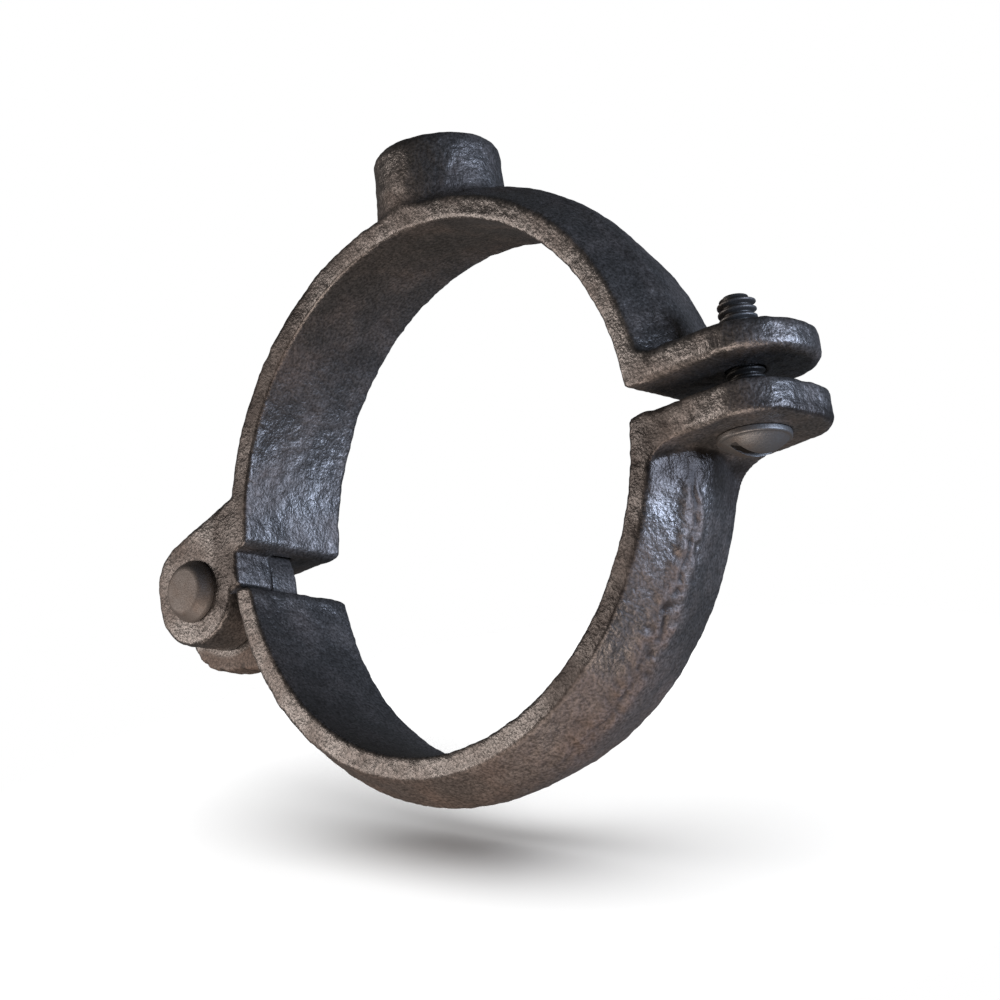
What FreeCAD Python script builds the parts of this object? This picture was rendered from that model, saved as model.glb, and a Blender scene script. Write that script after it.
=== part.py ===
"""Hinged split ring pipe hanger: two cast half rings, a hinge rivet and a clamping screw.

Millimetres. The origin is the centre of the rod hole's mouth, on top of the boss, and the ring hangs
below it. The pipe lies along Y, the hinge is on the -X side and the clamping screw on the +X side.
Every piece is drawn about the pipe axis and moved down by the boss height at the end.
"""

import FreeCAD
import Part

import math
import os

# Pipe seat, for 3 inch pipe of 88.9 mm outside diameter
pipe_radius = 44.45
pipe_clearance = 0.05

# Band of the ring, a D section drafted from the parting line to the two faces
band_width = 22.8
front_edge_thickness = 4.1
back_edge_thickness = 3.4
upper_parting_thickness = 7.8
lower_parting_thickness = 8.6
parting_offset = -1.5
crest_rounding = 9.0
band_edge_rounding = 0.9
bore_edge_rounding = 0.6

# Clamping ears, heights measured from the pipe axis
screw_offset = 15.6
upper_ear_height = 2.7
ear_gap = 4.6
upper_ear_thickness = 5.2
lower_ear_thickness = 5.8
upper_ear_end = 12.2
lower_ear_end = 11.3
upper_ear_flat = 0.5
lower_ear_flat = 3.0
upper_ear_rounding = 1.5
lower_ear_rounding = 1.0
upper_web_foot = 5.2
head_to_web = 1.2

# Boss for the threaded rod, 1/2-13
boss_rise = 9.4
boss_top_radius = 10.8
boss_draft_deg = 1.5
boss_top_rounding = 2.4
boss_fillet = 1.6
rod_radius = 6.35
rod_hole_clearance = 0.15
rod_hole_depth = 11.5
drill_point_deg = 59.0

# Hinge, a lug of the lower half between the eye and the cheek of the upper half
pin_offset = 14.1
pin_drop = 2.4
eye_radius = 9.6
lug_radius = 11.1
lug_thickness = 6.0
side_play = 0.1
swing_clearance = 0.7
eye_shoulder = 0.2
eye_shoulder_gap = 0.7
eye_shoulder_rounding = 0.7
flare_start_deg = 14.2
flare_end_height = 5.6
flare_corner_radius = 8.0
upper_end_height = 2.3
cheek_setback = 7.7
cheek_slope = 3.4
cheek_rounding = 2.0
lower_end_drop = 4.9
lug_tail_deg = 22.0
lug_tail_height = 13.6
hinge_edge_rounding = 0.8
end_rounding = 1.7

# Rivet
rivet_radius = 3.2
rivet_clearance = 0.07
rivet_head_radius = 5.5
rivet_head_top_radius = 4.4
rivet_head_height = 2.8
rivet_tail_radius = 4.2
rivet_tail_height = 1.8
rivet_rounding = 0.5

# Clamping screw, 1/4-20: the shank is the core of its thread and the ear holes clear the thread
screw_core_radius = 2.35
screw_thread_radius = 3.175
upper_hole_clearance = 0.05
lower_hole_clearance = 0.4
screw_length = 22.8
screw_tip_length = 1.6
screw_tip_radius = 1.9
screw_head_radius = 6.0
screw_head_rim = 1.1
screw_head_dome = 2.2
screw_head_play = 0.05
slot_width = 1.6
slot_depth = 1.6
slot_turn_deg = -12.0

bore_radius = pipe_radius + pipe_clearance
half_width = band_width / 2
boss_height = bore_radius + upper_parting_thickness + boss_rise
front_edge_radius = bore_radius + front_edge_thickness
back_edge_radius = bore_radius + back_edge_thickness
core_radius = (bore_radius + back_edge_radius) / 2
lower_ear_height = upper_ear_height - ear_gap
screw_seat = lower_ear_height - lower_ear_thickness
pin_reach = bore_radius + pin_offset
screw_reach = bore_radius + screw_offset
cheek_reach = pin_reach + eye_radius - cheek_setback
lug_side = lug_thickness / 2
eye_side = lug_side + side_play
origin = FreeCAD.Vector(0, 0, 0)
pipe_axis = FreeCAD.Vector(0, 1, 0)
up = FreeCAD.Vector(0, 0, 1)


def upright(x, z):
    """A point of the ring's own plane."""
    return FreeCAD.Vector(x, 0, z)


def flat(x, y):
    """A point of the plane square to the screw."""
    return FreeCAD.Vector(x, y, 0)


def polar(radius, degrees):
    """A point of the ring's plane, the angle counted from the hinge side upwards."""
    angle = math.radians(degrees)
    return -radius * math.cos(angle), radius * math.sin(angle)


def rounded_wire(corners, place):
    """A closed wire through (a, b, radius) corners, each rounded by a tangent arc of its radius."""
    edges = []
    ends = []
    count = len(corners)
    for number, (a, b, radius) in enumerate(corners):
        corner = place(a, b)
        before = (place(*corners[number - 1][:2]) - corner).normalize()
        after = (place(*corners[(number + 1) % count][:2]) - corner).normalize()
        half_angle = before.getAngle(after) / 2
        start = corner + before * (radius / math.tan(half_angle))
        finish = corner + after * (radius / math.tan(half_angle))
        if radius:
            inward = (before + after).normalize()
            middle = corner + inward * (radius / math.sin(half_angle) - radius)
            edges.append(Part.Arc(start, middle, finish).toShape())
        ends.append((start, finish))
    for number, (start, finish) in enumerate(ends):
        following = ends[(number + 1) % count][0]
        if finish.distanceToPoint(following) > 1e-6:
            edges.append(Part.LineSegment(finish, following).toShape())
    return Part.Wire(Part.__sortEdges__(edges))


def scooped_wire(start, centre, finish, others):
    """A closed wire of one arc about a centre and straight runs on through the other points."""
    radius = (start - centre).Length
    middle = centre + ((start - centre) + (finish - centre)).normalize() * radius
    edges = [Part.Arc(start, middle, finish).toShape()]
    points = [finish] + others + [start]
    for first, second in zip(points, points[1:]):
        edges.append(Part.LineSegment(first, second).toShape())
    return Part.Wire(edges)


def plate(wire, low, high):
    """A wire of the ring's plane as a plate between two depths along the pipe."""
    face = Part.Face(wire)
    face.translate(pipe_axis * low)
    return face.extrude(pipe_axis * (high - low))


def soften(solid, depth, radius):
    """Round the outline of a plate on its face at the given depth along the pipe."""
    level = [edge for edge in solid.Edges if edge.BoundBox.YLength < 1e-6]
    return solid.makeFillet(radius, [edge for edge in level if abs(edge.BoundBox.YMin - depth) < 1e-6])


def pin(radius, low, high):
    """A cylinder about the hinge axis between two depths along the pipe."""
    return Part.makeCylinder(radius, high - low, FreeCAD.Vector(-pin_reach, low, -pin_drop), pipe_axis)


def shaft(radius, low, high):
    """A cylinder about the screw's axis between two heights."""
    return Part.makeCylinder(radius, high - low, FreeCAD.Vector(screw_reach, 0, low), up)


def turned(corners, place, base, axis):
    """A solid of revolution of a rounded profile."""
    return Part.Face(rounded_wire(corners, place)).revolve(base, axis, 360)


def band(thickness, width, bore, edge, inner_edge):
    """The section turned about the pipe axis, its two facets run out to the given width."""
    parting_radius = bore_radius + thickness
    front_slope = (thickness - front_edge_thickness) / (half_width + parting_offset)
    back_slope = (thickness - back_edge_thickness) / (half_width - parting_offset)
    front = parting_radius - front_slope * (width / 2 + parting_offset)
    back = parting_radius - back_slope * (width / 2 - parting_offset)
    section = [
        (bore, -width / 2, inner_edge),
        (front, -width / 2, edge),
        (parting_radius, parting_offset, crest_rounding),
        (back, width / 2, edge),
        (bore, width / 2, inner_edge),
    ]
    return turned(section, flat, origin, pipe_axis)


def half_band(direction, thickness, hinge_end, ear_end):
    """The part of the ring above (1) or below (-1) its two ends, one height for each side."""
    reach = 2 * bore_radius
    solid = band(thickness, band_width, bore_radius, band_edge_rounding, bore_edge_rounding)
    for side, end in ((-1, hinge_end), (1, ear_end)):
        corners = [
            (0, end, 0),
            (side * reach, end, 0),
            (side * reach, end - direction * reach, 0),
            (0, end - direction * reach, 0),
        ]
        solid = solid.cut(plate(rounded_wire(corners, upright), -band_width, band_width))
    return solid


def bore_corner(side, direction, end):
    """The wedge that comes off where an end of a half meets the bore, leaving a tangent rounding."""
    centre_z = end + direction * end_rounding
    centre_x = side * math.sqrt((bore_radius + end_rounding) ** 2 - centre_z ** 2)
    centre = upright(centre_x, centre_z)
    on_end = upright(centre_x, end)
    on_bore = centre * (bore_radius / (bore_radius + end_rounding))
    inside = side * (bore_radius - 2 * end_rounding)
    below = end - direction
    others = [upright(inside, on_bore.z), upright(inside, below), upright(centre_x, below)]
    return plate(scooped_wire(on_end, centre, on_bore, others), -band_width, band_width)


def back_corner(direction, end):
    """The wedge that comes off the hinge end of a half along its back face, leaving a rounding."""
    centre_y = half_width - end_rounding
    centre_z = end + direction * end_rounding
    centre = FreeCAD.Vector(0, centre_y, centre_z)
    on_end = FreeCAD.Vector(0, centre_y, end)
    on_back = FreeCAD.Vector(0, half_width, centre_z)
    behind = half_width + 1
    below = end - direction
    others = [
        FreeCAD.Vector(0, behind, centre_z),
        FreeCAD.Vector(0, behind, below),
        FreeCAD.Vector(0, centre_y, below),
    ]
    face = Part.Face(scooped_wire(on_end, centre, on_back, others))
    return face.extrude(upright(-2 * bore_radius, 0))


def ear(low, thickness, end, end_flat, edge_rounding):
    """A clamping ear, a flat plate with a round end, softened on top and below."""
    outline = [
        (core_radius, -half_width, 0),
        (screw_reach + end, -half_width, half_width - end_flat),
        (screw_reach + end, half_width, half_width - end_flat),
        (core_radius, half_width, 0),
    ]
    face = Part.Face(rounded_wire(outline, flat))
    face.translate(up * low)
    solid = face.extrude(up * thickness)
    rims = [edge for edge in solid.Edges if edge.BoundBox.ZLength < 1e-6]
    return solid.makeFillet(edge_rounding, rims)


def web(direction, height, foot):
    """The concave web where an ear meets the band, above (1) or below (-1) the ear, out to its foot."""
    tangent = 2 * (back_edge_radius - direction * height)
    radius = (foot ** 2 + height ** 2 - back_edge_radius ** 2) / tangent
    centre = upright(foot, height + direction * radius)
    on_ear = upright(foot, height)
    on_band = centre * (back_edge_radius / (back_edge_radius + radius))
    inside = height - direction * upper_ear_rounding
    others = [
        on_band * (core_radius / back_edge_radius),
        upright(core_radius, inside),
        upright(foot, inside),
    ]
    return plate(scooped_wire(on_ear, centre, on_band, others), -half_width, half_width)


def boss():
    """The drafted boss, filleted onto the band's facets run out wide, then cut flush with both faces."""
    foot_radius = boss_top_radius + math.tan(math.radians(boss_draft_deg)) * (boss_height - core_radius)
    profile = [
        (0, core_radius, 0),
        (foot_radius, core_radius, 0),
        (boss_top_radius, boss_height, boss_top_rounding),
        (0, boss_height, 0),
    ]
    solid = turned(profile, upright, origin, up)
    solid = solid.fuse(band(upper_parting_thickness, band_width + 2 * boss_fillet, core_radius, 0, 0))
    foot = [
        edge for edge in solid.Edges
        if edge.BoundBox.ZMin > core_radius + 1
        and edge.BoundBox.ZMax < boss_height - boss_top_rounding - 1
        and abs(edge.BoundBox.XMax) <= foot_radius
        and abs(edge.BoundBox.XMin) <= foot_radius
    ]
    solid = solid.makeFillet(boss_fillet, foot)
    around = Part.makeCylinder(foot_radius + boss_fillet, boss_height, upright(0, core_radius), up)
    slab_corner = FreeCAD.Vector(-boss_height, -half_width, 0)
    slab = Part.makeBox(2 * boss_height, band_width, boss_height, slab_corner)
    return solid.common(around).common(slab)


def rod_hole():
    """The blind hole for the rod, with its drill point."""
    radius = rod_radius + rod_hole_clearance
    floor = boss_height - rod_hole_depth
    profile = [
        (0, boss_height, 0),
        (radius, boss_height, 0),
        (radius, floor, 0),
        (0, floor - radius / math.tan(math.radians(drill_point_deg)), 0),
    ]
    return turned(profile, upright, origin, up)


def flare_points():
    """Where the hinge flare leaves the band, and the corner above the eye that it runs to."""
    start = polar(front_edge_radius, flare_start_deg)
    inner = polar(core_radius, flare_start_deg)
    return start, inner


def eye():
    """The front eye of the upper half: round about the pin, with a straight flare up to the band."""
    start, inner = flare_points()
    left = -pin_reach - eye_radius
    right = -pin_reach + eye_radius
    bottom = -pin_drop - eye_radius
    outline = [
        (inner[0], inner[1], 0),
        (start[0], start[1], 0),
        (left, flare_end_height, flare_corner_radius),
        (left, bottom, eye_radius),
        (right, bottom, eye_radius),
        (right, upper_end_height, 0),
        (-core_radius, upper_end_height + end_rounding, 0),
    ]
    solid = plate(rounded_wire(outline, upright), -half_width, -eye_side)
    wall = -pin_reach + lug_radius + eye_shoulder
    foot = -lower_end_drop + eye_shoulder_gap
    shoulder = [
        (-pin_reach, foot, 0),
        (wall, foot, eye_shoulder_rounding),
        (wall, upper_end_height + end_rounding, 0),
        (-pin_reach, upper_end_height + end_rounding, 0),
    ]
    solid = solid.fuse(plate(rounded_wire(shoulder, upright), -half_width, -eye_side)).removeSplitter()
    return soften(solid, -half_width, hinge_edge_rounding)


def cheek():
    """The short cheek of the upper half behind the lug, under the same flare as the eye."""
    start, inner = flare_points()
    slope = (start[1] - flare_end_height) / (start[0] + pin_reach + eye_radius)
    corner_height = start[1] - slope * (start[0] + cheek_reach)
    outline = [
        (inner[0], inner[1], 0),
        (start[0], start[1], 0),
        (-cheek_reach, corner_height, cheek_rounding),
        (-cheek_reach + cheek_slope, upper_end_height, cheek_rounding),
        (-core_radius, upper_end_height, 0),
    ]
    solid = plate(rounded_wire(outline, upright), eye_side, half_width)
    return soften(solid, half_width, hinge_edge_rounding)


def lug():
    """The lug of the lower half: round about the pin, its tail running out onto the band."""
    tail = polar(front_edge_radius, -lug_tail_deg)
    tail_inner = polar(core_radius, -lug_tail_deg)
    left = -pin_reach - lug_radius
    right = -pin_reach + lug_radius
    top = -pin_drop + lug_radius
    outline = [
        (left, top, lug_radius),
        (right, top, lug_radius),
        (right, -lower_end_drop - end_rounding, 0),
        (tail_inner[0], tail_inner[1], 0),
        (tail[0], tail[1], 0),
        (left, -lug_tail_height, eye_radius),
    ]
    return plate(rounded_wire(outline, upright), -lug_side, lug_side)


def upper_half():
    """The upper casting, with the boss, the upper ear, the eye and the cheek."""
    ear_top = upper_ear_height + upper_ear_thickness
    solid = half_band(1, upper_parting_thickness, upper_end_height, upper_ear_height)
    solid = solid.fuse([
        boss(),
        ear(upper_ear_height, upper_ear_thickness, upper_ear_end, upper_ear_flat, upper_ear_rounding),
        web(1, ear_top, bore_radius + upper_web_foot),
        eye(),
        cheek(),
    ])
    solid = solid.cut(pin(lug_radius + swing_clearance, -eye_side, eye_side))
    solid = solid.cut(bore_corner(-1, 1, upper_end_height))
    solid = solid.cut(bore_corner(1, 1, upper_ear_height))
    solid = solid.cut(back_corner(1, upper_end_height))
    solid = solid.cut(pin(rivet_radius, -band_width, 0))
    solid = solid.cut(shaft(screw_thread_radius + upper_hole_clearance, 0, ear_top + ear_gap))
    solid = solid.cut(rod_hole())
    return solid.removeSplitter()


def lower_half():
    """The lower casting, with the lower ear and the hinge lug, relieved round the eye."""
    solid = half_band(-1, lower_parting_thickness, -lower_end_drop, lower_ear_height)
    solid = solid.fuse([
        ear(screw_seat, lower_ear_thickness, lower_ear_end, lower_ear_flat, lower_ear_rounding),
        web(-1, screw_seat, screw_reach - screw_head_radius - head_to_web),
    ])
    solid = solid.cut(pin(eye_radius + swing_clearance, -band_width, -lug_side))
    solid = solid.cut(bore_corner(-1, -1, -lower_end_drop))
    solid = solid.cut(bore_corner(1, -1, lower_ear_height))
    solid = solid.cut(back_corner(-1, -lower_end_drop))
    solid = solid.fuse(lug())
    solid = solid.cut(pin(rivet_radius + rivet_clearance, -band_width, band_width))
    solid = solid.cut(shaft(screw_thread_radius + lower_hole_clearance, screw_seat - ear_gap, 0))
    return solid.removeSplitter()


def hinge_rivet():
    """The rivet: a flat-topped conical head in front, a plain upset tail behind the lug."""
    head_top = -half_width - rivet_head_height
    tail_end = eye_side + rivet_tail_height
    profile = [
        (0, head_top, 0),
        (rivet_head_top_radius, head_top, rivet_rounding),
        (rivet_head_radius, -half_width, 0),
        (rivet_radius, -half_width, 0),
        (rivet_radius, eye_side, 0),
        (rivet_tail_radius, eye_side, 0),
        (rivet_tail_radius, tail_end, rivet_rounding),
        (0, tail_end, 0),
    ]
    solid = turned(profile, flat, origin, pipe_axis)
    solid.translate(upright(-pin_reach, -pin_drop))
    return solid


def clamp_screw():
    """The slotted screw, its low domed head seated under the lower ear."""
    seat = screw_seat - screw_head_play
    rim = seat - screw_head_rim
    apex = rim - screw_head_dome
    tip = seat + screw_length
    dome_radius = (screw_head_radius ** 2 + screw_head_dome ** 2) / (2 * screw_head_dome)
    dome_centre = upright(0, apex + dome_radius)
    others = [
        upright(screw_head_radius, seat),
        upright(screw_core_radius, seat),
        upright(screw_core_radius, tip - screw_tip_length),
        upright(screw_tip_radius, tip),
        upright(0, tip),
    ]
    profile = scooped_wire(upright(0, apex), dome_centre, upright(screw_head_radius, rim), others)
    solid = Part.Face(profile).revolve(origin, up, 360)
    slot_corner = FreeCAD.Vector(-slot_width / 2, -2 * screw_head_radius, apex - slot_depth)
    slot = Part.makeBox(slot_width, 4 * screw_head_radius, 2 * slot_depth, slot_corner)
    slot.rotate(origin, up, slot_turn_deg)
    solid = solid.cut(slot)
    solid.translate(upright(screw_reach, 0))
    return solid


def save(solid, name):
    """Move a finished piece below the boss's mouth and write it out."""
    solid.translate(up * -boss_height)
    solid.exportStep("parts/" + name + ".step")


os.makedirs("parts", exist_ok=True)
save(upper_half(), "upper_half")
save(lower_half(), "lower_half")
save(hinge_rivet(), "hinge_rivet")
save(clamp_screw(), "clamp_screw")
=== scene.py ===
"""A hinged split ring pipe hanger in bare cast iron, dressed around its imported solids.

Everything is in metres, in the solids' own frame: +Z up the rod, +Y along the pipe, the hinge at
-X and the clamping screw at +X. The origin is the middle of the rod hole's mouth. Sizes of the
pieces are written in millimetres and turned into metres where a mesh is made.
"""

import math

import bmesh
import bpy
import numpy as np
from mathutils import Matrix, Vector


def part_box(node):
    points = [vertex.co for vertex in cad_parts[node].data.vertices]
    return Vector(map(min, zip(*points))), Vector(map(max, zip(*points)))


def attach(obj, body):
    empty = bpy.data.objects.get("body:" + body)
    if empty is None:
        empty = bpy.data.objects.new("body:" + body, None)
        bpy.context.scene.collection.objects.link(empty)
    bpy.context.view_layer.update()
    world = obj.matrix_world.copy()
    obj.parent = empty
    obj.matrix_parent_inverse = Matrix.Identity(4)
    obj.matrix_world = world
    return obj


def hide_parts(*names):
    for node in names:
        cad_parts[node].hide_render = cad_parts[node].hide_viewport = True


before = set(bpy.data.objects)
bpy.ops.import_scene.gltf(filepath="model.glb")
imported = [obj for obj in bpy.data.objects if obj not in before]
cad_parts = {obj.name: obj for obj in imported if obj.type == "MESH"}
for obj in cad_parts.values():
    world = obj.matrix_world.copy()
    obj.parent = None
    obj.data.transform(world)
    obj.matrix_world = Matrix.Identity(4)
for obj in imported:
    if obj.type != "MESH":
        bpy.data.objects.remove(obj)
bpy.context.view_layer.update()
scene = bpy.context.scene

# The studio: a camera a little below the ring, as in the photograph, and white all round it.
# Warm lamps stand in front on the left and below, and a cool one on the right. One overhead
# lights nothing but the floor, to lay the soft shadow straight under the ring.

mm = 0.001
ring_depth = 61.7  # from the rod hole's mouth down to the middle of the ring
ring_middle = (0.0, 0.0, -ring_depth * mm)
camera_place = (0.3866, -0.41705, -0.2312)
camera_aim = (0.0025, 0.00325, -0.0629)
camera_roll = math.radians(-6.63)
surroundings = 0.07  # how bright the white surroundings are in what the metal mirrors


def linear(colour):
    """An sRGB hex colour as linear red, green, blue and alpha."""
    parts = [int(colour[i:i + 2], 16) / 255 for i in (0, 2, 4)]
    return [p / 12.92 if p <= 0.04045 else ((p + 0.055) / 1.055) ** 2.4 for p in parts] + [1.0]


def empty_tree(owner):
    """Switches on the node tree of a material or a world, and clears it."""
    owner.use_nodes = True
    owner.node_tree.nodes.clear()
    return owner.node_tree


def node(tree, kind, settings=None, **links):
    """Adds a node with its settings. Each input is given by its name or, as _0, by its number,
    and takes a value, another node's socket, or another node, whose first output it takes."""
    made = tree.nodes.new(kind)
    for name, value in (settings or {}).items():
        setattr(made, name, value)
    for name, value in links.items():
        socket = made.inputs[int(name[1:]) if name[1:].isdigit() else name.replace("_", " ")]
        if isinstance(value, bpy.types.Node):
            value = value.outputs[0]
        if isinstance(value, bpy.types.NodeSocket):
            tree.links.new(value, socket)
        else:
            socket.default_value = value
    return made


def stand(obj, place, aim, roll=0.0):
    """Puts a camera or lamp at a place, looking at a point, and links it to the scene."""
    look = (Vector(aim) - Vector(place)).to_track_quat("-Z", "Y").to_matrix().to_4x4()
    obj.matrix_world = Matrix.Translation(place) @ look @ Matrix.Rotation(roll, 4, "Z")
    scene.collection.objects.link(obj)


def lamp(name, place, sizes, power, colour, lit):
    """A soft box that looks at the middle of the ring and lights the part or the floor only."""
    data = bpy.data.lights.new(name, "AREA")
    data.shape = "RECTANGLE"
    data.size, data.size_y = sizes
    data.energy = power
    data.color = linear(colour)[:3]
    made = bpy.data.objects.new(name, data)
    stand(made, place, ring_middle)
    made.visible_camera = False
    made.light_linking.receiver_collection = bpy.data.collections.new(name + "_lights")
    made.light_linking.receiver_collection.objects.link(floor)
    link = made.light_linking.receiver_collection.collection_objects[0]
    link.light_linking.link_state = "INCLUDE" if lit == "floor" else "EXCLUDE"


camera = bpy.data.objects.new("camera", bpy.data.cameras.new("camera"))
camera.data.lens = 128.2
camera.data.sensor_width = 36.0
camera.data.clip_start = 0.01
stand(camera, camera_place, camera_aim, camera_roll)
scene.camera = camera
scene.view_settings.view_transform = "Standard"

world = bpy.data.worlds.new("studio")
scene.world = world
tree = empty_tree(world)
path = node(tree, "ShaderNodeLightPath")
seen = node(tree, "ShaderNodeMath", {"operation": "MAXIMUM"},
            _0=path.outputs["Is Camera Ray"], _1=path.outputs["Is Transmission Ray"])
white = node(tree, "ShaderNodeBackground", _0=(1, 1, 1, 1), _1=1.0)
dim = node(tree, "ShaderNodeBackground", _0=linear("f4f6fa"), _1=surroundings)
sky = node(tree, "ShaderNodeMixShader", _0=seen, _1=dim, _2=white)
node(tree, "ShaderNodeOutputWorld", _0=sky)

# The floor of the photograph, which lies nearly level in the picture and so is tilted under the
# ring. It is lit just past white, so that only the soft shadow shows, and throws no light back.
# It is clear at its rim and from other sides than the camera's, or it would hide the open ring.

floor_tilt = (-0.16, 0.96, 0.235)  # the floor's upward direction: right, up and back in the picture
floor_drop = 0.0562  # metres from the middle of the ring down to the floor
floor_radius = 0.27
floor_corners = 64
rim_fade = (0.088, 0.115)  # metres from the floor's middle: fading starts, and all is clear
side_fade = (0.97, 0.93)  # the same by the cosine between a line of sight and the camera's axis
overhead = 0.40  # metres from the middle of the ring up to the floor's own lamp

camera_turn = camera.matrix_world.to_3x3()
floor_up = (camera_turn @ Vector(floor_tilt)).normalized()
floor_place = Vector(ring_middle) - floor_up * floor_drop
floor_turn = floor_up.to_track_quat("Z", "Y").to_matrix()
turns = np.linspace(0, 2 * math.pi, floor_corners, endpoint=False)
flat_rim = floor_radius * np.column_stack([np.cos(turns), np.sin(turns), np.zeros(floor_corners)])
floor_rim = flat_rim @ np.array(floor_turn).T + np.array(floor_place)
floor_mesh = bpy.data.meshes.new("floor")
floor_mesh.from_pydata(floor_rim.tolist(), [], [range(floor_corners)])
floor = bpy.data.objects.new("floor", floor_mesh)
scene.collection.objects.link(floor)
floor.visible_diffuse = False
floor.visible_glossy = False
floor.visible_shadow = False

paper = bpy.data.materials.new("white_paper")
tree = empty_tree(paper)
point = node(tree, "ShaderNodeNewGeometry")
away = node(tree, "ShaderNodeVectorMath", {"operation": "DISTANCE"},
            _0=point.outputs["Position"], _1=tuple(floor_place))
aside = node(tree, "ShaderNodeVectorMath", {"operation": "DOT_PRODUCT"},
             _0=point.outputs["Incoming"], _1=tuple(camera_turn @ Vector((0, 0, 1))))
rim = node(tree, "ShaderNodeMapRange", _0=away.outputs["Value"], _1=rim_fade[0], _2=rim_fade[1])
side = node(tree, "ShaderNodeMapRange", _0=aside.outputs["Value"], _1=side_fade[0],
            _2=side_fade[1])
gone = node(tree, "ShaderNodeMath", {"operation": "MAXIMUM"}, _0=side, _1=rim)
sheet = node(tree, "ShaderNodeBsdfDiffuse", _0=linear("f5f5f5"))
clear = node(tree, "ShaderNodeBsdfTransparent")
faded = node(tree, "ShaderNodeMixShader", _0=gone, _1=sheet, _2=clear)
node(tree, "ShaderNodeOutputMaterial", _0=faded)
floor_mesh.materials.append(paper)

above = tuple(Vector(ring_middle) + floor_up * overhead)
lamp("front_lamp", (-0.87, -0.84, -0.03), (0.6, 0.6), 8.8, "fff3eb", "part")
lamp("right_lamp", (0.95, 0.24, -0.15), (0.5, 0.4), 15.8, "cde0ff", "part")
lamp("low_lamp", (0.05, -0.45, -0.95), (0.8, 0.8), 10.5, "ffeee2", "part")
lamp("shadow_lamp", above, (1.1, 1.1), 7.8, "ffffff", "floor")

# The two halves: iron poured in green sand, shaken out and left bare. The sand leaves a pebbled
# skin, soft unevenness and a lumpy brown line of flash where the mould parted. Their places are
# measured in millimetres from the middle of the ring.

pin_x, pin_z = -58.6, -2.4  # axis of the hinge
screw_x = 60.1  # axis of the clamping screw
parting_y = -3.9  # where the flash runs
band_radius = 50.0  # radius at which lengths along the band are measured
lug_radius = 11.1
gap_wall_x = -47.3  # the hinge's wall that shows in the gap between the halves
voxel = 0.4  # size of the faces that the skin is made of
grit = 0.9  # size of the sand's grains
noise_tilt = np.array(Matrix.Rotation(0.6, 3, "X") @ Matrix.Rotation(0.8, 3, "Z"))


def scatter(cells, seed):
    """A repeatable random number from 0 to 1 for each whole-number cell, from mixed products."""
    mixed = cells[:, 0] * 73856093 ^ cells[:, 1] * 19349663
    mixed = mixed ^ cells[:, 2] * 83492791 ^ seed * 2654435
    mixed = (mixed ^ mixed >> 13) * 1274126177 & 0xFFFFFFFF
    return ((mixed ^ mixed >> 15) & 0xFFFFFF) / 0xFFFFFF


def pebbles(points, size, seed):
    """Smooth noise from -1 to 1: a random value at each corner of a tilted cubic grid of that
    size, blended inside a cell by the weight 3t squared less 2t cubed along each axis."""
    turned = points @ noise_tilt.T / size + 500.0
    cells = np.floor(turned).astype(np.int64)
    part = turned - cells
    weight = part * part * (3 - 2 * part)
    total = np.zeros(len(points))
    for corner in range(8):
        step = np.array([corner & 1, corner >> 1 & 1, corner >> 2])
        total += np.where(step, weight, 1 - weight).prod(axis=1) * scatter(cells + step, seed)
    return 2 * total - 1


def ramp(value, low, high):
    """0 below low, 1 above high, and 3t squared less 2t cubed between them."""
    t = np.clip((value - low) / (high - low), 0, 1)
    return t * t * (3 - 2 * t)


def applied(obj):
    """A new mesh: the object's with its modifiers carried out."""
    return bpy.data.meshes.new_from_object(
        obj.evaluated_get(bpy.context.evaluated_depsgraph_get()))


def fine_mesh(name):
    """The node's solid rebuilt in even small faces, with its edges a little softened."""
    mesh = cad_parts[name].data.copy()
    shell = bmesh.new()
    shell.from_mesh(mesh)
    bmesh.ops.remove_doubles(shell, verts=shell.verts, dist=1e-6)
    shell.to_mesh(mesh)
    shell.free()
    rough = bpy.data.objects.new("rough", mesh)
    scene.collection.objects.link(rough)
    skin = rough.modifiers.new("skin", "REMESH")
    skin.mode = "VOXEL"
    skin.voxel_size = voxel * mm
    soft = rough.modifiers.new("soft", "SMOOTH")
    soft.iterations = 3
    mesh = applied(rough)
    bpy.data.objects.remove(rough)
    return mesh


def vectors(mesh, kind):
    """The places ("co") or the normals ("normal") of a mesh's vertices, a row for each."""
    values = np.empty(len(mesh.vertices) * 3)
    mesh.vertices.foreach_get(kind, values)
    return values.reshape(-1, 3)


def paint(mesh, name, values):
    """Keeps a number for each vertex under a name that the materials read."""
    mesh.attributes.new(name, "FLOAT", "POINT").data.foreach_set("value", values)


def left_bare(p):
    """1 where the cast skin stands, and 0 where pieces fit: round the holes and under the head
    of the screw, and at the rivet's hole and the lug's two faces."""
    x, y, z = p.T
    from_pin = np.hypot(x - pin_x, z - pin_z)
    from_screw = np.hypot(x - screw_x, y)
    free = ramp(from_screw, 3.6, 4.4)
    free *= 1 - (1 - ramp(from_screw, 6.3, 7.0)) * (z < -5)
    free *= ramp(from_pin, 3.6, 4.4)
    free *= 1 - (1 - ramp(np.abs(y), 3.3, 4.2)) * (1 - ramp(from_pin, 12.0, 13.0))
    return free


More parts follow.
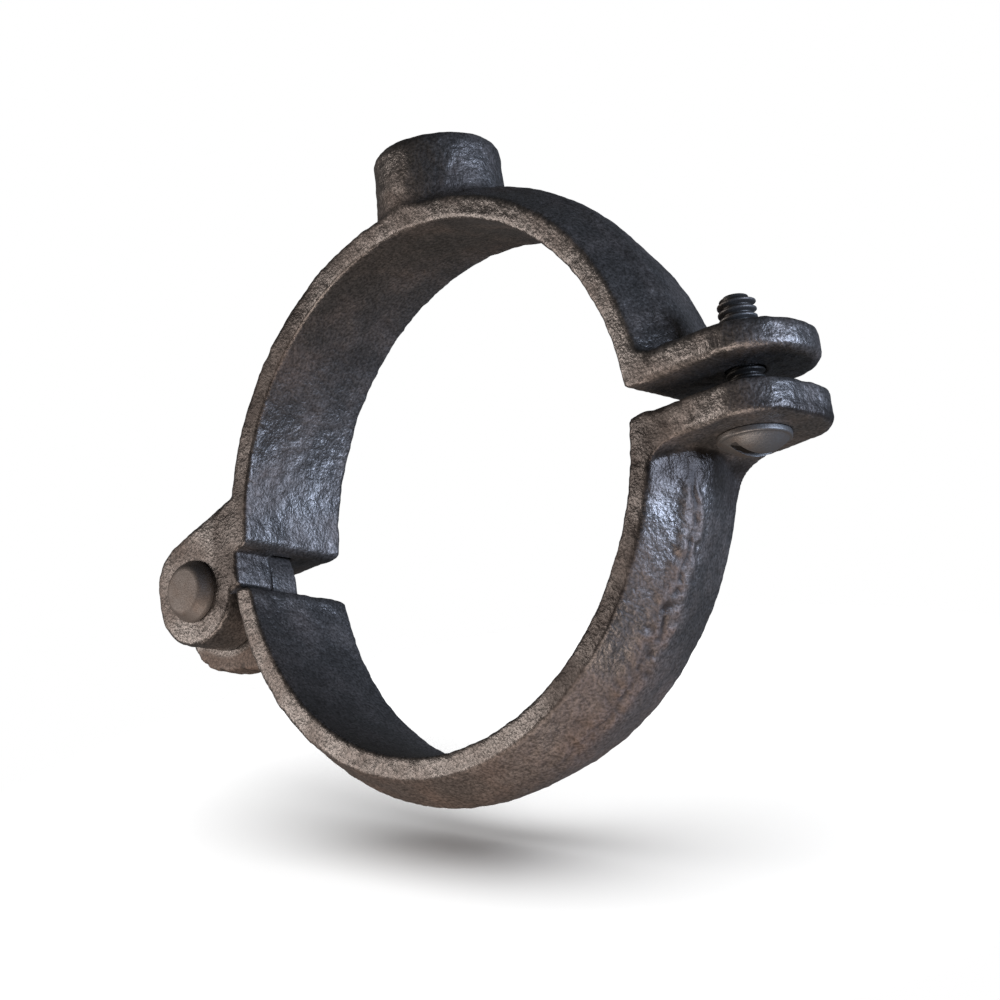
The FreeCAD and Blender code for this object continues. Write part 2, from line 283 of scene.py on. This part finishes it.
def parting_flash(p, outward, seed, strength):
    """The strip of the flash from 0 to 1, its lumps, and its height. The strip is e to the minus
    fourth power of the distance from a wandering line over the strip's width. The height is the
    strip times a base with lumps and crumbs added and cracks taken away."""
    x, y, z = p.T
    radius = np.hypot(x, z)
    level = np.zeros_like(x)
    on_band = ramp(outward, 0.5, 0.8) * ramp(radius, 48.5, 49.5) * ramp(53.5 - radius, 0, 1)
    along = np.arctan2(z, x) * band_radius
    wander = pebbles(np.column_stack([along / 5, level, level + seed]), 1.0, seed + 9)
    width = 1.7 + 0.9 * ramp(-z, 14, 34)
    across = y - parting_y - 0.9 * wander
    strip = np.exp(-(across / width) ** 4)
    strip *= on_band * ramp(np.abs(z), 9, 14) * strength * (0.2 + 0.8 * ramp(x, 12, 34))
    lumps = pebbles(p * [1, 1, 0.7], 1.9, seed + 7)
    crumbs = pebbles(p, 1.1, seed + 8)
    cracks = np.exp(-((across - 0.7 * lumps) / 0.6) ** 2) * ramp(crumbs + lumps, -0.7, 0.4)
    return strip, lumps, strip * (0.35 + 0.4 * lumps + 0.3 * crumbs - 0.7 * cracks)


def ground_tail(p, seed):
    """Where the tail of the hinge lug is ground off, from 0 to 1, and the grooves that this
    leaves, from -1 to 1: noise drawn out along the pipe."""
    x, y, z = p.T
    from_pin = np.hypot(x - pin_x, z - pin_z)
    around = np.arctan2(z - pin_z, x - pin_x) * lug_radius
    drawn = np.column_stack([around / 0.9, y / 14, np.zeros_like(x)])
    ground = ramp(from_pin, 10.4, 10.9) * ramp(-z, 9.5, 10.5) * ramp(-x, 50, 51.5)
    return ground, pebbles(drawn, 1.0, seed + 12)


def casting(name, body, slot, seed, strength, rubbed, shaded_side):
    """The node's solid given a sand-cast skin: each point is moved along its normal by the sum of
    fine grit, pebbles and slow unevenness, the flash, and the grooves of the ground tail. The
    seed sets the noise, strength the flash, rubbed is 1 where the tail is ground, and the last is
    the side, 1 for +X or -1 for -X, whose front face is darkened with painted shade."""
    mesh = fine_mesh(name)
    place = vectors(mesh, "co")
    normal = vectors(mesh, "normal")
    p = place / mm - np.array(ring_middle) / mm
    x, y, z = p.T
    radius = np.hypot(x, z)
    outward = (normal[:, 0] * x + normal[:, 2] * z) / radius
    free = left_bare(p)
    strip, lumps, flash = parting_flash(p, outward, seed, strength)
    ground, grooves = ground_tail(p, seed)
    ground = ground * rubbed

    grain = 0.075 * pebbles(p, grit, seed) + 0.08 * pebbles(p, 1.6, seed + 1)
    grain += 0.08 * pebbles(p, 6.0, seed + 2) + 0.06 * pebbles(p, 3.2, seed + 3)
    height = free * (grain - 0.03 + flash + 0.25 * ground * grooves)
    low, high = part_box(name)
    place = np.clip(place + normal * height[:, None] * mm, np.array(low), np.array(high))
    mesh.vertices.foreach_set("co", place.ravel())
    mesh.update()
    mesh.shade_smooth()
    mesh.materials.clear()
    mesh.materials.append(iron)

    # Rust sits on the flash, in clouds, under the ring and on the ground tail
    rust = ramp(pebbles(p, 9.0, seed + 4), 0.1, 0.7) * 0.3
    rust += 0.45 * ramp(-z, 30, 48) * ramp(outward, 0.2, 0.6)
    paint(mesh, "rust", np.clip(strip * (0.6 + 0.4 * lumps) + rust + 0.6 * ground, 0, 1))

    # Darkening, mostly painted shade: in the grain's lows and the flash's cracks, under the lower
    # ear, in the hinge's gap and on one side's front face; and dark grooves on the ground tail
    # Painted shade: the outer face just under the lower ear is darkened
    shade_under_ear = ramp(z, -17, -11) * ramp(-z, 5, 7) * ramp(x, 38, 44) * ramp(outward, 0.3, 0.7)
    # Painted shade: the wall that shows in the hinge's gap between the halves is darkened
    shade_in_gap = ramp(normal[:, 0], 0.4, 0.8) * ramp(1.2 - np.abs(x - gap_wall_x), 0, 0.4)
    shade_in_gap *= ramp(z, -1.5, 2.5)
    # Painted shade: the front face is darkened, with mottling, towards one side
    side_shade = ramp(-normal[:, 1], 0.2, 1.0) * ramp(shaded_side * x, 8, 30)
    side_shade *= ramp(54 - radius, 0, 2)
    # Painted shade in the grain's lows and in the flash's cracks, and dark grooves where the tail
    # is ground
    scale = ramp(-grain, -0.05, 0.16) * 0.25 + strip * ramp(-flash / 0.5, -0.6, 0.5)
    scale += 0.8 * ground * ramp(-grooves, -0.1, 0.6)
    scale += 0.65 * shade_under_ear + 0.8 * shade_in_gap
    scale += 0.6 * side_shade * (1 + 0.5 * pebbles(p, 5.0, seed + 6))
    paint(mesh, "scale", np.clip(scale, 0, 1) * free)

    piece = bpy.data.objects.new(slot, mesh)
    scene.collection.objects.link(piece)
    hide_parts(name)
    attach(piece, body)


def cast_iron():
    """Bare iron out of green sand: dark, a little shiny on the high grains, brown and dull where
    it rusts, and near black where the darkening, mostly painted shade, is painted. The sand's
    grains print pits of about half a millimetre, whose lows are painted darker as shade, and rust
    gathers in clouds a few millimetres wide."""
    material = bpy.data.materials.new("bare_sand_cast_iron")
    tree = empty_tree(material)
    place = node(tree, "ShaderNodeTexCoord").outputs["Object"]
    rust = node(tree, "ShaderNodeAttribute", {"attribute_name": "rust"}).outputs["Fac"]
    scale = node(tree, "ShaderNodeAttribute", {"attribute_name": "scale"}).outputs["Fac"]
    pits = node(tree, "ShaderNodeTexNoise", _0=place, Scale=1 / (0.5 * mm), Detail=2.0,
                Roughness=0.55)
    dust = node(tree, "ShaderNodeTexNoise", _0=place, Scale=1 / (0.4 * mm), Detail=1.0)
    clouds = node(tree, "ShaderNodeTexNoise", _0=place, Scale=1 / (7 * mm), Detail=3.0)
    # Painted shade in the pits: the colour is darker where the bump is low and lighter where it is
    # high
    pit_shade = node(tree, "ShaderNodeMapRange", _0=pits, _1=0.35, _2=0.68)
    clean = node(tree, "ShaderNodeMix", colours, Factor=pit_shade,
                 _6=linear("4c4a48"), _7=linear("767270"))
    brown = node(tree, "ShaderNodeMix", colours, Factor=pit_shade,
                 _6=linear("433831"), _7=linear("73645c"))
    stain = node(tree, "ShaderNodeMapRange", _0=clouds, _1=0.45, _2=0.7, _3=0.0, _4=0.35)
    rusty = node(tree, "ShaderNodeMath", {"operation": "ADD", "use_clamp": True},
                 _0=rust, _1=stain)
    tone = node(tree, "ShaderNodeMix", colours, Factor=rusty,
                _6=clean.outputs[2], _7=brown.outputs[2])
    # Near black where the darkening is painted, which is mostly painted shade
    black = node(tree, "ShaderNodeMix", colours, Factor=scale,
                 _6=tone.outputs[2], _7=linear("2a2421"))
    height = node(tree, "ShaderNodeMath", {"operation": "MULTIPLY_ADD"}, _0=dust, _1=0.3, _2=pits)
    bump = node(tree, "ShaderNodeBump", Strength=0.6, Distance=0.2 * mm, Height=height)
    metallic = node(tree, "ShaderNodeMapRange", _0=rusty, _3=0.76, _4=0.25)
    roughness = node(tree, "ShaderNodeMapRange", _0=rusty, _3=0.37, _4=0.66)
    shader = node(tree, "ShaderNodeBsdfPrincipled", Base_Color=black.outputs[2],
                  Metallic=metallic, Roughness=roughness, Normal=bump)
    node(tree, "ShaderNodeOutputMaterial", _0=shader)
    return material


colours = {"data_type": "RGBA"}
iron = cast_iron()

# The upper half: half a ring cast in one with its rod boss, upper ear, hinge eye and rear cheek.
# It hangs from the rod that is screwed into the boss. Its flash is low.
casting("upper_half", "upper", "upper_casting", seed=11, strength=0.35, rubbed=0, shaded_side=-1)

# The lower half: half a ring cast in one with its lower ear and hinge lug. It hangs on the rivet
# and is drawn up by the screw. Its flash is thick, and the tail of its lug is ground.
casting("lower_half", "lower", "lower_casting", seed=37, strength=1.0, rubbed=1, shaded_side=1)

# The rod hole's thread, 13 turns to the inch, tapped straight into the boss down to its floor.
# The iron is the upper half's. The ridges stand on a sleeve that lies hidden in the hole's wall.

sharp_angle = math.radians(40)
rod_pitch = 25.4 / 13
rod_root = 6.56
rod_ridge = 0.95
rod_sleeve = 6.9
rod_top, rod_floor = -0.9, -11.2  # below the rod hole's mouth
full_turn = np.linspace(0, 2 * math.pi, 96, endpoint=False)


def surface(name, grid, closed, material, body):
    """A mesh through a grid of points (rows, columns, 3), its columns joined round, and its rows
    joined round too where closed, or else their ends shut by a fan to the middle of the row."""
    rows, columns = grid.shape[:2]
    count = rows * columns
    first = np.arange(rows if closed else rows - 1)[:, None] * columns
    a = (first + np.arange(columns)).ravel()
    b = (first + (np.arange(columns) + 1) % columns).ravel()
    faces = np.column_stack([a, b, (b + columns) % count, (a + columns) % count]).tolist()
    points = grid.reshape(-1, 3)
    if not closed:
        points = np.vstack([points, grid[0].mean(0), grid[-1].mean(0)])
        ring = np.arange(columns)
        after = (ring + 1) % columns
        last = (rows - 1) * columns
        faces += np.column_stack([after, ring, ring * 0 + count]).tolist()
        faces += np.column_stack([last + ring, last + after, ring * 0 + count + 1]).tolist()
    mesh = bpy.data.meshes.new(name)
    mesh.from_pydata((points * mm).tolist(), [], faces)
    mesh.shade_smooth()
    mesh.set_sharp_from_angle(angle=sharp_angle)
    mesh.materials.append(material)
    piece = bpy.data.objects.new(name, mesh)
    scene.collection.objects.link(piece)
    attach(piece, body)
    return piece


def upright(radius, around, height):
    """Points at a radius and an angle about the Z axis, and at a height."""
    return np.dstack([radius * np.cos(around), radius * np.sin(around), height])


def ridge(around, height, pitch):
    """1 on the crest and 0 in the root of a right-hand thread: the distance of height over pitch
    less turns from the nearest whole number, taken twice, and eased at root and crest."""
    turns = height / pitch - around / (2 * math.pi)
    return ramp(np.abs(turns - np.floor(turns + 0.5)) * 2, 0.9, 0.15)


around, height = np.meshgrid(full_turn, np.linspace(rod_top, rod_floor, 120))
crests = ridge(around, height, rod_pitch) * ramp(-height, 0.9, 2.4)
inside = upright(rod_root - rod_ridge * crests, around, height)
outside = upright(rod_sleeve, around, height)[::-1]
surface("rod_thread", np.vstack([outside, inside]), True, iron, "upper")

# The hinge rivet: a mild steel pin with a flat-topped head, its tail closed with a hammer behind
# the lug. Bare, dull and a little browned like the castings.

head_face = -14.2  # place of the head's flat top along the pipe


def rounded(corners):
    """Points (radius, height) along a line whose corners (radius, height, rounding) are arcs:
    each arc starts and ends where the rounding's length along both sides cuts them off."""
    points = []
    for number, (radius, height, rounding) in enumerate(corners):
        here = np.array([radius, height])
        if not rounding:
            points.append(here)
            continue
        before = np.array(corners[number - 1][:2]) - here
        after = np.array(corners[number + 1][:2]) - here
        start = here + rounding * before / np.linalg.norm(before)
        end = here + rounding * after / np.linalg.norm(after)
        for t in np.linspace(0, 1, 9):
            points.append((1 - t) ** 2 * start + 2 * t * (1 - t) * here + t * t * end)
    return np.array(points)


def turned(profile):
    """The profile's radius, the angle and the profile's height for a full turn of each point."""
    around, row = np.meshgrid(full_turn, np.arange(len(profile)))
    return profile[row, 0], around, profile[row, 1]


def steel(name, colour, roughness):
    """Bare mild steel, dull and evenly grey, with faint brown clouds about two millimetres wide
    and near black where the darkening is painted: on the screw, its thread's roots and a painted
    shadow on the shank. The marks of tumbling are finer than 0.3 mm, and are drawn at 0.3 mm to
    show."""
    material = bpy.data.materials.new(name)
    tree = empty_tree(material)
    place = node(tree, "ShaderNodeTexCoord").outputs["Object"]
    shade_and_darkening = node(tree, "ShaderNodeAttribute", {"attribute_name": "scale"}).outputs["Fac"]
    clouds = node(tree, "ShaderNodeTexNoise", _0=place, Scale=1 / (2.2 * mm), Detail=3.0)
    marks = node(tree, "ShaderNodeTexNoise", _0=place, Scale=1 / (0.3 * mm), Detail=2.0)
    brown = node(tree, "ShaderNodeMapRange", _0=clouds, _1=0.4, _2=0.7, _3=0.0, _4=0.4)
    tone = node(tree, "ShaderNodeMix", colours, Factor=brown,
                _6=linear(colour), _7=linear("5f5249"))
    black = node(tree, "ShaderNodeMix", colours, Factor=shade_and_darkening,
                 _6=tone.outputs[2], _7=linear("171513"))
    dull = node(tree, "ShaderNodeMapRange", _0=marks, _1=0.3, _2=0.7,
                _3=roughness, _4=roughness + 0.15)
    bump = node(tree, "ShaderNodeBump", Strength=0.5, Distance=0.1 * mm, Height=marks)
    shader = node(tree, "ShaderNodeBsdfPrincipled", Base_Color=black.outputs[2], Metallic=0.6,
                  Roughness=dull, Normal=bump)
    node(tree, "ShaderNodeOutputMaterial", _0=shader)
    return material


radius, around, height = turned(rounded([
    (0.6, -14.15, 0), (4.1, -14.1, 0.7), (5.5, -12.1, 0.5), (5.45, -11.41, 0.1),
    (3.18, -11.41, 0), (3.18, 3.12, 0), (4.1, 3.12, 0.1), (4.2, 4.6, 0.5), (2.6, 4.89, 0.4),
    (0.5, 4.89, 0)]))
pin = np.dstack([radius * np.sin(around), height, radius * np.cos(around)])
dents = pebbles(pin.reshape(-1, 3), 2.6, 3).reshape(around.shape) * ramp(-height, 11.5, 13.0)
pin[..., 1] = np.maximum(height + 0.12 * dents, head_face)
pin += [pin_x, 0, pin_z - ring_depth]
browned = steel("browned_rivet_steel", "6a6562", 0.52)
rivet = surface("hinge_rivet_pin", pin, False, browned, "upper")
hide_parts("hinge_rivet")

# The clamping screw: a 1/4-20 machine screw in dull steel with a low domed head, slotted, its
# thread rolled up to the rounded point, darker in its roots, with painted shadow on the shank
# between the ears. It turns in the upper ear's thread, so its slot stands as it was left.

screw_pitch = 1.27
screw_core = 2.35
screw_ridge = 0.78
screw_tip, screw_foot = 15.05, -7.75  # heights from the middle of the ring, as for the head
screw_place = [screw_x, 0, -ring_depth]
dome_edge = 5.35
dome_foot = -8.85
dome_rise = 2.15
slot_turn = math.radians(-12)
slot_size = (1.6 * mm, 20 * mm, 3.2 * mm)
slot_place = (screw_x * mm, 0, -72.75 * mm)

screw = steel("dull_screw_steel", "5f5e5d", 0.4)
around, height = np.meshgrid(full_turn, np.linspace(screw_tip, screw_foot, 300))
crests = ridge(around, height, screw_pitch)
fade = ramp(screw_tip - height, 0.0, 0.9) * ramp(height - screw_foot, 0.2, 1.4)
radius = screw_core - 0.35 * ramp(height, 14.3, screw_tip) + screw_ridge * fade * crests
shank = (upright(radius, around, height) + screw_place)[::-1]
shaft = surface("clamp_screw_shank", shank, False, screw, "screw")
# The thread's roots darker, and painted shadow on the shank's lower part, which shows between the
# ears
roots = 0.6 - 0.6 * crests[::-1]
dark_roots_and_shadow = np.maximum(roots, 0.85 * ramp(-shank[..., 2], 51.5, 54.0)).ravel()
paint(shaft.data, "scale", np.concatenate([dark_roots_and_shadow, [1, 0]]))

ball = (dome_edge ** 2 + dome_rise ** 2) / (2 * dome_rise)
dome = [(r, ball + dome_foot - dome_rise - math.sqrt(ball ** 2 - r ** 2), 0)
        for r in np.linspace(0.1, dome_edge, 16)]
edge = [(5.5, -8.8, 0.05), (6.0, -8.75, 0.35), (6.0, -7.76, 0.2), (2.5, -7.76, 0)]
button = upright(*turned(rounded(dome + edge))) + screw_place
head = surface("clamp_screw_head", button, False, screw, "screw")

cutter = bmesh.new()
bmesh.ops.create_cube(cutter, size=1.0, matrix=Matrix.Translation(slot_place)
                      @ Matrix.Rotation(slot_turn, 4, "Z") @ Matrix.Diagonal((*slot_size, 1)))
blade = bpy.data.objects.new("blade", bpy.data.meshes.new("blade"))
cutter.to_mesh(blade.data)
cutter.free()
scene.collection.objects.link(blade)
cut = head.modifiers.new("slot", "BOOLEAN")
cut.object = blade
worn = head.modifiers.new("worn", "BEVEL")
worn.width = 0.15 * mm
worn.segments = 2
worn.angle_limit = sharp_angle
slotted = applied(head)
head.modifiers.clear()
head.data = slotted
bpy.data.objects.remove(blade)
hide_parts("clamp_screw")
